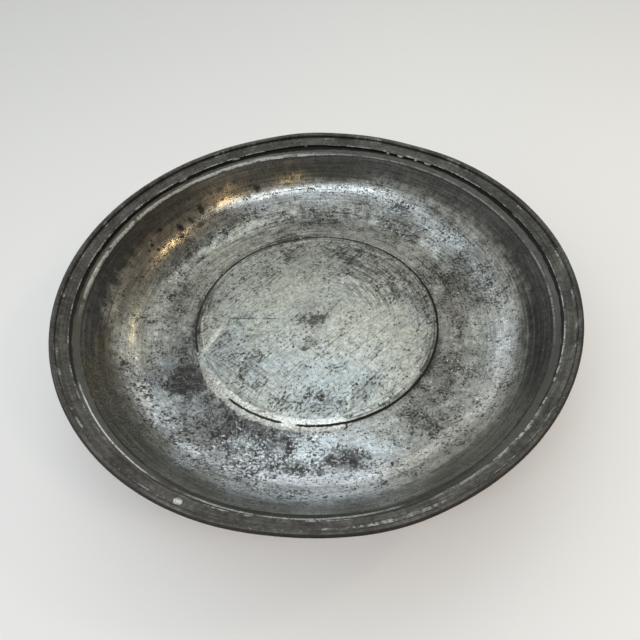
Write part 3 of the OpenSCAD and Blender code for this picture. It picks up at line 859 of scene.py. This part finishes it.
# the outside of the rolled edge is painted near black as shade, copper showing where it is rubbed
rollShade = {"black": (0.016, 0.015, 0.014), "grey": (0.045, 0.04, 0.035), "rubbed": (0.10, 0.068, 0.05),
            "rubs": 0.7, "roughness": (0.42, 0.7), "metal": (0.35, 0.9), "bump": (0.5, 0.15)}


# painted shade: a near-black finish for the roll's outer side
def finishRollShade():
    finish, tree, shader = startMetal("rolled edge painted shade")
    big = use(tree, clouds, size=16.0, detail=5.0, grit=0.62, shift=19.0)
    small = use(tree, clouds, size=2.4, detail=5.0, grit=0.7, shift=29.0)
    rubbed = times(tree, remap(tree, big, 0.6, 0.7), rollShade["rubs"])
    colour = blend(tree, remap(tree, small, 0.35, 0.7), rollShade["black"], rollShade["grey"])
    colour = blend(tree, rubbed, colour, rollShade["rubbed"])
    feed(tree, shader, colour, remap(tree, small, 0.2, 0.8, *rollShade["roughness"]),
         remap(tree, rubbed, 0.0, rollShade["rubs"], *rollShade["metal"]))
    bumpInto(tree, shader, addUp(tree, (small, 0.6), (big, 0.5)), *rollShade["bump"])
    return finish


# drawn iron, browned and hidden in the roll
wireIron = {"grey": (0.10, 0.095, 0.09), "rust": (0.07, 0.045, 0.03), "black": (0.02, 0.018, 0.016),
            "roughness": (0.45, 0.75), "metal": 0.85, "bump": (0.4, 0.1)}


def finishWire():
    finish, tree, shader = startMetal("iron wire")
    big = use(tree, clouds, size=12.0, detail=5.0, grit=0.6)
    small = use(tree, clouds, size=1.6, detail=5.0, grit=0.7, shift=5.0)
    colour = blend(tree, remap(tree, big, 0.35, 0.65), wireIron["grey"], wireIron["rust"])
    colour = stain(tree, colour, remap(tree, small, 0.5, 0.75), 0.6, wireIron["black"])
    feed(tree, shader, colour, remap(tree, small, 0.2, 0.8, *wireIron["roughness"]), wireIron["metal"])
    bumpInto(tree, shader, small, *wireIron["bump"])
    return finish


tinBowl, tinPlate, tinRim = finishBowl(), finishPlate(), finishRim()
solder, seamBlack, copper, iron = finishSolder(), finishSeam(), finishCopper(), finishWire()
rollShadeBlack = finishRollShade()
print("finishes built:", len(bpy.data.materials))


# the rim is a little out of true, as it was shaped by hand: bearing, half width, outward mm, upward mm
rimTruth = {
    "from": 128, "to": 192,
    "waves": [(96, 9, 1.2, 0.5), (64, 9, -1.0, -0.4), (-92, 10, -0.8, 0.1), (-72, 9, 0.9, 0.0),
              (-120, 14, 0.4, 0.3), (150, 16, -0.5, 0.2), (20, 18, 0.4, -0.3), (-30, 16, -0.4, 0.2)],
}


def rimShift(bearing, r):
    share = ease(r, rimTruth["from"], rimTruth["to"])
    out = up = 0.0
    for at, half, dr, dz in rimTruth["waves"]:
        weight = bumps(bearing, [(at, half, 1.0)])
        out += dr * weight
        up += dz * weight
    return share * out, share * up


def followRim(bearing, r, z, *_):
    out, up = rimShift(bearing, r)
    return r + out, z + up


def handworked(size, depth, seed):  # the shallow hammer and scraper marks of hand work
    def reshape(bearing, r, z, nr, nz):
        out, up = rimShift(bearing, r)
        spot = Vector((r * cosDeg(bearing), r * sinDeg(bearing), z * 1.5 + seed)) / size
        lift = depth * (noise.noise(spot) + 0.5 * noise.noise(spot * 2.3))
        return r + out + nr * lift, z + up + nz * lift
    return reshape


# the bowl, raised from one sheet: lap under the plate, floor, curved wall and flange
bowlShape = {
    "thick": 1.5, "start": (94.0, 22.2, 0.0), "stride": 2.6, "around": 432,
    "moves": [(10.4, 60, 0.3, 12), (0.866, -60, 0.3, 12), (18.85, 55, 54.0, 2.75), (23.127, -17, 2.0, 6),
              (16.228, 0, 0, 1)],
    "markSize": 17.0, "markDepth": 0.045, "markSeed": 3.0,
}


def makeBowl():
    s = bowlShape
    path = walkStrip(s["start"], s["moves"], s["thick"], s["stride"])
    loop = stripSection(path, s["thick"], lambda station: 1)
    marks = handworked(s["markSize"], s["markDepth"], s["markSeed"])
    piece = spin("dishBowl", loop, s["around"], marks, [tinBowl, copper])
    return seat(piece, "bowl")


bowl = makeBowl()
print("bowl:", len(bowl.data.polygons), "faces")


# the flat disc let into the floor, with a worn edge and the compass mark it was cut by
plateShape = {
    "r": 104.0, "top": 24.0, "thick": 1.5, "edge": 0.45, "corner": 0.1, "hole": 0.05, "around": 480,
    "rings": 34, "markR": 1.6, "markDepth": 0.55, "waveSize": 26.0, "waveDepth": 0.06, "waveSeed": 40.0,
}


def makePlate():
    s = plateShape
    top, low, r, edge = s["top"], s["top"] - s["thick"], s["r"], s["edge"]
    loop = [(s["hole"], low, 0, -1, 1)] + [(r * k / 6, low, 0, -1, 1) for k in range(1, 6)]
    loop += [(r - s["corner"], low, 0, -1, 1), (r, low + s["corner"], 1, 0, 2)]  # cut edge, black as the seam
    for k in range(7):  # worn edge
        a = 90 * k / 6
        loop.append((r - edge + edge * cosDeg(a), top - edge + edge * sinDeg(a), cosDeg(a), sinDeg(a), 0))
    for k in range(1, s["rings"] + 1):
        loop.append(((r - edge) * (1 - k / (s["rings"] + 0.6)), top, 0, 1, 0))
    for k in range(1, 7):  # compass mark, soft at its lip
        t = k / 6
        loop.append((s["markR"] * (1 - t) + s["hole"], top - s["markDepth"] * ease(t, 0, 1), 0, 1, 0))
    wave = handworked(s["waveSize"], s["waveDepth"], s["waveSeed"])
    piece = spin("centrePlate", loop, s["around"], wave, [tinPlate, copper, seamBlack])
    return seat(piece, "centre_plate")


plate = makePlate()
print("centre plate:", len(plate.data.polygons), "faces")


# solder in the lap, black where it shows in the open seam; it stands higher where the seam is faint
seamShape = {
    "inner": 94.0, "low": 22.2, "high": 22.5, "plateR": 104.0, "lapBend": 104.45, "lapSlope": 60,
    "around": 360, "depth": 0.35, "least": 0.15, "deepest": 1.55, "uneven": 0.18, "tuck": 0.05,
    "hollow": 0.12, "intoLap": 0.12,
    "depthAt": [(180, 38, 1.25), (-150, 25, 0.8), (-30, 30, 0.25), (40, 40, 0.1), (110, 30, 0.3)],
}


def makeSeam():
    s = seamShape
    inside = s["plateR"] - s["tuck"]

    def level(bearing):
        uneven = s["uneven"] * ripple(cosDeg(bearing) * 30, sinDeg(bearing) * 30, 7.0)
        top = s["depth"] + bumps(bearing, s["depthAt"]) + uneven
        return s["low"] + min(s["deepest"], max(s["least"], top))

    corners = [(s["inner"], s["low"]), (s["lapBend"], s["low"]), (1, 0), (2, 0), (3, 0), (inside, s["high"]),
               (s["inner"], s["high"])]
    loop = [(r, z, 0, 0, 0) for r, z in corners]

    def fill(bearing, r, z, nr, nz):  # the three points marked 1, 2 and 3 ride on the fill's level
        if r > 3:
            return r, z
        top = level(bearing)
        wall = s["lapBend"] + (top - s["low"]) / math.tan(math.radians(s["lapSlope"])) + s["intoLap"]
        middle = ((wall + inside) / 2, top - s["hollow"])
        return {1: (wall, top + s["tuck"]), 2: middle, 3: (inside, top + s["tuck"])}[int(r)]

    piece = spin("seamSolder", loop, s["around"], fill, [seamBlack])
    return seat(piece, "seam_solder")


seam = makeSeam()


# later run of solder wiped over the seam, opened again along two cracks
repairShape = {
    "seamR": 104.6, "floor": 24.0, "from": -166.0, "to": -71.0, "steps": 420, "half": 6.0, "height": 0.42,
    "cracks": [(-127.0, -101.0, 1.0), (-95.0, -66.0, 1.1)], "key": 0.9, "under": 1.0, "sunk": -0.4,
    "black": 0.45,
    "across": [-8.2, -7.4, -6.6, -5.9, -5.2, -4.5, -3.8, -3.1, -2.5, -1.9, -1.4, -1.05, -0.8, -0.6, -0.42,
               -0.25, 0.0],
}


def repairTaper(bearing):  # thin where it was begun, full after a third of its run
    s = repairShape
    t = (bearing - s["from"]) / (s["to"] - s["from"])
    return ease(t, 0.07, 0.34) * (1 - ease(t, 0.95, 1.0))


def repairRise(bearing, x):  # height over the floor at x mm outside the seam, and how far a crack gapes there
    s = repairShape
    taper = repairTaper(bearing)
    side = 0.0 if x < 0 else 6.0
    uneven = ripple(bearing * 0.3, 3.0 + side, 1.0) + 0.7 * ripple(bearing * 1.2, 5.0 + side, 2.0)
    half = s["half"] * (0.12 + 0.88 * taper) * (1 + 0.22 * uneven)
    lump = 1 + 0.35 * ripple(bearing * 0.9, x * 0.35, 4.0)
    rise = s["height"] * taper * lump * (1 - (x / half) ** 2) - 0.06
    rise += 0.11 * ripple(bearing * 2.6, x * 1.1, 14.0) + 0.07 * ripple(bearing * 6.0, x * 2.2, 3.0)
    if taper <= 0.01:
        rise, gape = s["sunk"], 1.0
    else:
        rise, gape = max(rise, s["sunk"]), 0.0
    for low, high, wide in s["cracks"]:
        along = ease(bearing, low - 0.6, low + 1.6) * (1 - ease(bearing, high - 1.6, high + 0.6))
        sway = 0.3 * ripple(bearing * 0.4, 0.0, 8.0) + 0.12 * ripple(bearing * 2.2, 0.0, 5.0)
        width = wide * (0.8 + 0.5 * ripple(bearing * 0.8, 6.0, 6.0)) * along
        if width > 0.05:
            trench = 1 - ease(abs(x - sway), width * 0.75, width * 1.25)
            rise -= trench * (rise + s["key"])
            gape = max(gape, trench)
    return rise, gape


def makeRepair():
    s = repairShape
    steps = s["steps"]
    offsets = s["across"] + [-x for x in reversed(s["across"][:-1])]
    n = len(offsets)
    verts, faces, marks, gaping = [], [], [], []
    for i in range(steps + 1):
        bearing = s["from"] + (s["to"] - s["from"]) * i / steps
        for x in offsets:
            rise, gape = repairRise(bearing, x)
            gaping.append(gape > s["black"])
            r = s["seamR"] + x
            verts.append((r * cosDeg(bearing) * mm, r * sinDeg(bearing) * mm, (s["floor"] + rise) * mm))
    top = len(verts)
    verts += [(x, y, (s["floor"] - s["under"]) * mm) for x, y, _ in verts]  # flat underside inside the sheet
    for i in range(steps):
        for k in range(n - 1):
            a, b = i * n + k, (i + 1) * n + k
            faces.append((a, a + 1, b + 1, b))
            marks.append(1 if gaping[a] or gaping[a + 1] else 0)
            faces.append((top + a, top + b, top + b + 1, top + a + 1))
            marks.append(0)
    for i in range(steps):
        for k in (0, n - 1):
            a, b = i * n + k, (i + 1) * n + k
            faces.append((a, b, top + b, top + a) if k == 0 else (b, a, top + a, top + b))
    for i in (0, steps):
        for k in range(n - 1):
            a = i * n + k
            faces.append((a + 1, a, top + a, top + a + 1) if i == 0 else (a, a + 1, top + a + 1, top + a))
    marks += [0] * (len(faces) - len(marks))
    piece = makePiece("seamRepair", verts, faces, marks, [solder, seamBlack], 60)
    return seat(piece, "seam_repair")


repair = makeRepair()
print("seam and its repair:", len(seam.data.polygons) + len(repair.data.polygons), "faces")


# the rim band: a sloping ledge with its outer edge rolled up over a wire
bandShape = {
    "thick": 1.0, "start": (188.5, 74.06, 27.0), "moves": [(11.141, 278, 1.05, 9)], "stride": 1.1,
    "around": 480, "edge": 8, "shadeFrom": 196, "shadeTo": 168,
    "markSize": 9.0, "markDepth": 0.05, "markSeed": 11.0,
}
wireShape = {"r": 197.95, "z": 80.05, "thickR": 1.0, "around": 360, "sides": 14}


def makeBand():
    s = bandShape

    def under(station):  # painted shade on the outside of the roll
        return 1 if station[0] > s["shadeFrom"] and station[2] < s["shadeTo"] else 0

    path = walkStrip(s["start"], s["moves"], s["thick"], s["stride"])
    loop = stripSection(path, s["thick"], under, s["edge"])
    marks = handworked(s["markSize"], s["markDepth"], s["markSeed"])
    piece = spin("rimBand", loop, s["around"], marks, [tinRim, rollShadeBlack], 60)
    return seat(piece, "rim_band")


def makeWire():
    s = wireShape
    loop = []
    for k in range(s["sides"]):
        a = 360 * k / s["sides"]
        loop.append((s["r"] + s["thickR"] * cosDeg(a), s["z"] + s["thickR"] * sinDeg(a), 0, 0, 0))
    piece = spin("rimWire", loop, s["around"], followRim, [iron], 60)
    return seat(piece, "rim_wire")


band, wire = makeBand(), makeWire()
print("rim band and wire:", len(band.data.polygons) + len(wire.data.polygons), "faces")


# solder in the wedge under the band; lumps of it fill the crevice in places
rimSolderShape = {
    "outer": 196.5, "around": 720, "open": 191.5, "levels": 6, "bulge": 0.5, "tuck": 0.05, "reach": 4.0,
    "flangeTop": (183.3, 66.4, 38), "bandUnder": (196.5, 77.0, 27), "bandEdge": 188.0, "lumpHigh": 2.2,
    "pale": 1.6,
    "lumps": [(-62, 5, 0.7), (-75, 2, 0.6), (70, 0.9, 0.62), (66, 1.3, 0.7), (61, 0.8, 0.6),
              (57, 1.6, 0.66), (118, 2, 0.55), (136, 3, 0.5), (96, 0.8, 0.5), (-112, 2.0, 0.6),
              (-100, 3, 0.55), (170, 3, 0.45), (25, 2, 0.5), (-20, 3, 0.45)],
}


def makeRimSolder():
    s = rimSolderShape
    levels = s["levels"]

    def innerAt(bearing):
        uneven = 1 + 0.25 * ripple(bearing * 1.3, 2.0)
        fill = max(bumps(bearing, [lump]) * uneven for lump in s["lumps"])
        fill = max(0.0, fill, 0.12 * ripple(bearing * 0.35, 1.0))
        return s["open"] - s["reach"] * fill + 0.5 * ripple(bearing * 0.8, 5.0)

    def reshape(bearing, k, *_):  # the loop holds numbers of points, which are placed here
        if k >= levels:
            r = s["outer"]
            z = heightOn(s["bandUnder"] if k == levels else s["flangeTop"], r)
        else:
            t = k / (levels - 1)
            inner = innerAt(bearing)
            low, high = heightOn(s["flangeTop"], inner), heightOn(s["bandUnder"], inner)
            r = inner - s["bulge"] * math.sin(math.pi * t)
            z = low - s["tuck"] + (high + s["tuck"] - low) * t
            if inner < s["bandEdge"]:
                z = min(z, low + s["lumpHigh"] * (1 - 0.35 * (s["bandEdge"] - inner)))
        return followRim(bearing, r, z)

    loop = [(k, 0, 0, 0, 0) for k in range(levels + 2)]
    piece = spin("rimSolder", loop, s["around"], reshape, [solder, seamBlack], 60)
    for face in piece.data.polygons:
        bearing = math.degrees(math.atan2(face.center.y, face.center.x))
        face.material_index = 0 if innerAt(bearing) < s["open"] - s["pale"] else 1
    return seat(piece, "rim_solder")


# tin that dripped on the band and set as a low blob
dropShape = {"at": (-66.5, -181.2), "long": 3.3, "wide": 2.3, "high": 0.6, "rings": 7, "sides": 28,
             "skirt": 0.25, "bandTop": (188.0, 73.8, 27)}


def makeDrop():
    s = dropShape
    x0, y0 = s["at"]
    rings, sides = s["rings"], s["sides"]
    turn = math.atan2(y0, x0)
    verts, faces = [], []

    def bandTop(x, y):
        r = math.hypot(x, y)
        out, up = rimShift(math.degrees(math.atan2(y, x)), r)
        return heightOn(s["bandTop"], r - out) + up

    for i in range(rings + 1):
        t = i / rings
        for k in range(sides):
            w = 2 * math.pi * k / sides
            wobble = 1 + 0.22 * ripple(math.cos(w) * 1.3, math.sin(w) * 1.3, 2.0)
            u, v = s["long"] * t * wobble * math.cos(w), s["wide"] * t * wobble * math.sin(w)
            x = x0 - math.sin(turn) * u + math.cos(turn) * v
            y = y0 + math.cos(turn) * u + math.sin(turn) * v
            rise = s["high"] * math.sqrt(max(0.0, 1 - t * t)) * (1 + 0.2 * ripple(x, y)) - 0.12 * t
            verts.append((x * mm, y * mm, (bandTop(x, y) + rise) * mm))
    last, base = rings * sides, len(verts)
    verts += [(x, y, z - s["skirt"] * mm) for x, y, z in verts[last:]]
    for i in range(rings + 1):  # the last round is the skirt, which goes into the band
        for k in range(sides):
            m = (k + 1) % sides
            faces.append((i * sides + k, (i + 1) * sides + k, (i + 1) * sides + m, i * sides + m))
    faces.append(tuple(base + k for k in reversed(range(sides))))
    piece = makePiece("tinDrop", verts, faces, [0] * len(faces), [solder], 60)
    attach(piece, "root")
    return piece


rimSolder, drop = makeRimSolder(), makeDrop()
print("rim solder and drop:", len(rimSolder.data.polygons) + len(drop.data.polygons), "faces")


# the low flared foot and the fillet of solder that holds it
footShape = {
    "thick": 1.5, "start": (94.0, 20.4, 0.0), "stride": 2.0, "around": 360,
    "moves": [(7.0, -75, 2.0, 5), (13.812, 75, 4.0, 5), (6.0, 0, 0, 1)],
    "markSize": 15.0, "markDepth": 0.06, "trueTo": 1.6, "markedFrom": 6.0,
}
filletShape = {"inner": 94.0, "flangeEnd": 101.0, "low": 20.35, "high": 20.72, "outer": 103.4, "drop": 1.2,
               "around": 300, "runOut": 0.45, "runDown": 0.25}


def makeFoot():
    s = footShape
    path = walkStrip(s["start"], s["moves"], s["thick"], s["stride"])
    loop = stripSection(path, s["thick"], lambda station: 0)

    def reshape(bearing, r, z, nr, nz):  # true at the base, so that it stands flat
        share = ease(z, s["trueTo"], s["markedFrom"])
        spot = Vector((r * cosDeg(bearing), r * sinDeg(bearing), z)) / s["markSize"]
        lift = s["markDepth"] * share * noise.noise(spot)
        return r + nr * lift, max(0.0, z + nz * lift)

    piece = spin("footRing", loop, s["around"], reshape, [copper])
    return seat(piece, "foot_ring")


def makeFillet():
    s = filletShape
    outer, high, low = s["outer"], s["high"], s["high"] - s["drop"]
    free = [(outer + 0.6, high), (outer, high - 0.5), (outer - 0.5, high - s["drop"] * 0.8),
            (s["flangeEnd"] + 1.4, low)]
    loop = [(s["inner"], high, 0, 0, 0)]
    loop += [(r, z, 0, 1, 0) for r, z in free]  # the fourth number marks the points that run
    loop += [(s["flangeEnd"], s["low"] - 0.1, 0, 0, 0), (s["inner"], s["low"], 0, 0, 0)]

    def reshape(bearing, r, z, nr, runs):
        if not runs:
            return r, z
        c, d = cosDeg(bearing), sinDeg(bearing)
        run = ripple(c * 9, d * 9, 2.0) + 0.5 * ripple(c * 25, d * 25, 6.0)
        return r + s["runOut"] * run, z - s["runDown"] * max(0.0, run) * (high - z)

    piece = spin("footSolder", loop, s["around"], reshape, [solder])
    return seat(piece, "foot_solder")


foot, fillet = makeFoot(), makeFillet()
print("foot and its solder:", len(foot.data.polygons) + len(fillet.data.polygons), "faces")


# pale floor, seen from above only, so that the underside can be looked at
paper = {"r": 4.0, "sides": 48, "z": -0.0002, "tones": ((0.94, 0.94, 0.94), (0.97, 0.972, 0.975)),
         "roughness": 0.85, "specular": 0.2}


def makeFloor():
    finish, tree, shader = startMetal("pale paper")
    tone = use(tree, clouds, size=400.0, detail=3.0, grit=0.5)
    feed(tree, shader, blend(tree, tone, *paper["tones"]), paper["roughness"], 0.0)
    shader.inputs["Specular IOR Level"].default_value = paper["specular"]
    clear = put(tree, "BsdfTransparent")
    back = put(tree, "NewGeometry").outputs["Backfacing"]
    bounced = less(tree, 1.0, put(tree, "LightPath").outputs["Is Camera Ray"])
    mix = put(tree, "MixShader", {0: most(tree, back, bounced), 1: shader.outputs[0], 2: clear.outputs[0]})
    tree.links.new(mix.outputs[0], tree.nodes["Material Output"].inputs["Surface"])
    wide, n, z = paper["r"], paper["sides"], paper["z"]
    verts = [(0.0, 0.0, z)] + [(wide * cosDeg(360 * k / n), wide * sinDeg(360 * k / n), z) for k in range(n)]
    faces = [(0, 1 + k, 1 + (k + 1) % n) for k in range(n)]
    floor = makePiece("paleFloor", verts, faces, [0] * n, [finish])


makeFloor()


# soft light: pale surroundings behind, a dim room in front, a big lamp, a long strip and small warm lamps
studio = {
    "wallHigh": (0.68, 0.70, 0.665), "wallLow": (0.96, 0.985, 1.0), "ceiling": (0.78, 0.82, 0.84),
    "room": (0.13, 0.125, 0.115), "horizon": (0.97, 0.97, 0.97), "backdrop": (0.80, 0.80, 0.795),
    "below": (0.40, 0.40, 0.39), "aim": (0, 0, 0.03),
    "lamps": [
        ("backSoft", (-0.05, 0.50, 1.12), (0.5, 0.6), 0.7, (0.84, 0.94, 1.0)),
        ("strip", (0.1, -0.55, 1.05), (1.8, 0.2), 5.0, (0.92, 0.96, 1.0)),
        ("warmRight", (1.0, 0.26, 1.02), (0.12, 0.12), 1.1, (1.0, 0.72, 0.38)),
        ("warmFront", (0.90, -0.54, 0.96), (0.12, 0.12), 1.1, (1.0, 0.72, 0.38)),
        ("warmBack", (0.53, 1.02, 0.86), (0.10, 0.10), 0.3, (1.0, 0.78, 0.46)),
        ("warmNear", (0.33, -1.0, 0.94), (0.10, 0.10), 0.5, (1.0, 0.72, 0.38)),
    ],
}


def lightDish():
    world = bpy.data.worlds.new("studio")
    bpy.context.scene.world = world
    world.use_nodes = True
    tree = world.node_tree
    way = parts(tree, put(tree, "TexCoord").outputs["Generated"])
    colour = blend(tree, remap(tree, way["Z"], 0.45, 0.68), studio["wallLow"], studio["wallHigh"])
    side = addUp(tree, (way["X"], 0.8), (way["Y"], -0.6))
    colour = blend(tree, remap(tree, side, -0.12, 0.2), colour, studio["room"])  # open at the right front
    colour = blend(tree, remap(tree, way["Z"], 0.88, 0.97), colour, studio["ceiling"])
    rays = put(tree, "LightPath").outputs
    mirrored = most(tree, rays["Is Glossy Ray"], rays["Is Transmission Ray"])
    mirrored = times(tree, mirrored, remap(tree, way["Z"], 0.32, 0.14))
    colour = blend(tree, mirrored, colour, studio["horizon"])  # the metal shows the pale backdrop too
    colour = blend(tree, remap(tree, way["Z"], 0.0, -0.2), colour, studio["below"])
    colour = blend(tree, rays["Is Camera Ray"], colour, studio["backdrop"])
    background = tree.nodes["Background"].inputs
    plug(tree, background["Color"], colour)
    plug(tree, background["Strength"], 1.0)
    for name, at, size, power, tint in studio["lamps"]:
        data = bpy.data.lights.new(name, "AREA")
        data.shape, data.size, data.size_y = "RECTANGLE", size[0], size[1]
        data.energy, data.color = power, tint
        lamp = bpy.data.objects.new(name, data)
        lamp.location = at
        lamp.rotation_euler = (Vector(studio["aim"]) - Vector(at)).to_track_quat("-Z", "Y").to_euler()
        bpy.context.scene.collection.objects.link(lamp)


lightDish()
print("floor and lamps set:", len(studio["lamps"]), "lamps")


# camera at the photograph's place, fitted to the rim, ledge, step and seam circles
camera = {
    "at": (0.0312, -0.2765, 0.3614), "right": (0.9978, 0.0550, -0.0374), "up": (-0.0191, 0.7759, 0.6306),
    "lens": 28.125, "sensor": 36.0, "clip": (0.01, 20.0),
}


def placeCamera():
    right, up = Vector(camera["right"]).normalized(), Vector(camera["up"])
    back = right.cross(up).normalized()
    up = back.cross(right)
    data = bpy.data.cameras.new("dishCamera")
    data.lens, data.sensor_width = camera["lens"], camera["sensor"]
    data.clip_start, data.clip_end = camera["clip"]
    eye = bpy.data.objects.new("dishCamera", data)
    turn = Matrix((right, up, back)).transposed().to_4x4()
    eye.matrix_world = Matrix.Translation(camera["at"]) @ turn
    bpy.context.scene.collection.objects.link(eye)
    bpy.context.scene.camera = eye


placeCamera()
bpy.context.scene.view_settings.view_transform = "Standard"
